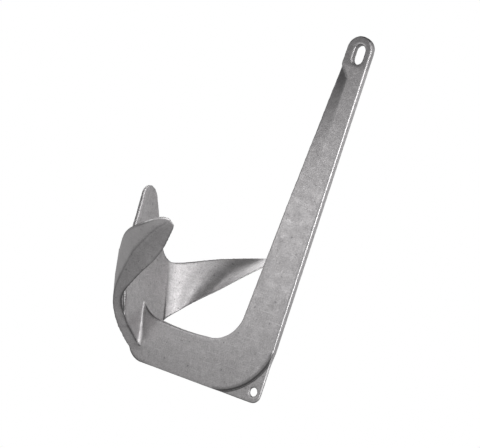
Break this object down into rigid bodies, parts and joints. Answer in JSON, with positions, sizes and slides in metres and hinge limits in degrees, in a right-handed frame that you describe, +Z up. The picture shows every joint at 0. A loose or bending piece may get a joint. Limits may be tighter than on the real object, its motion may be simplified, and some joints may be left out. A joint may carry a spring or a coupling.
{
  "type": "claw anchor",
  "caption": "Galvanised claw anchor: flat J-shaped shank with a slotted eye, thin crown web with a trip-line hole, and a scooped three-fingered claw.",
  "frame": {"origin": "centre of the bounding box at the height of the base edge, the flat lower edge of the base bar and crown web", "axes": "+Z up along the shank towards the eye, -X towards the claw, -Y to port; the shank's middle plane is Y = 0"},
  "size_m": [0.3165, 0.4158, 0.6],
  "materials": {
    "galvanised": "hot-dip galvanised, mottled and scuffed"
  },
  "bodies": {
    "root": {"shank": "galvanised", "shank_eye": "galvanised", "crown_web": "galvanised", "palm": "galvanised", "centre_fluke": "galvanised", "port_fluke": "galvanised", "starboard_fluke": "galvanised", "port_web_fillet": "galvanised", "starboard_web_fillet": "galvanised", "port_palm_fillet": "galvanised", "starboard_palm_fillet": "galvanised"}
  },
  "joints": []
}
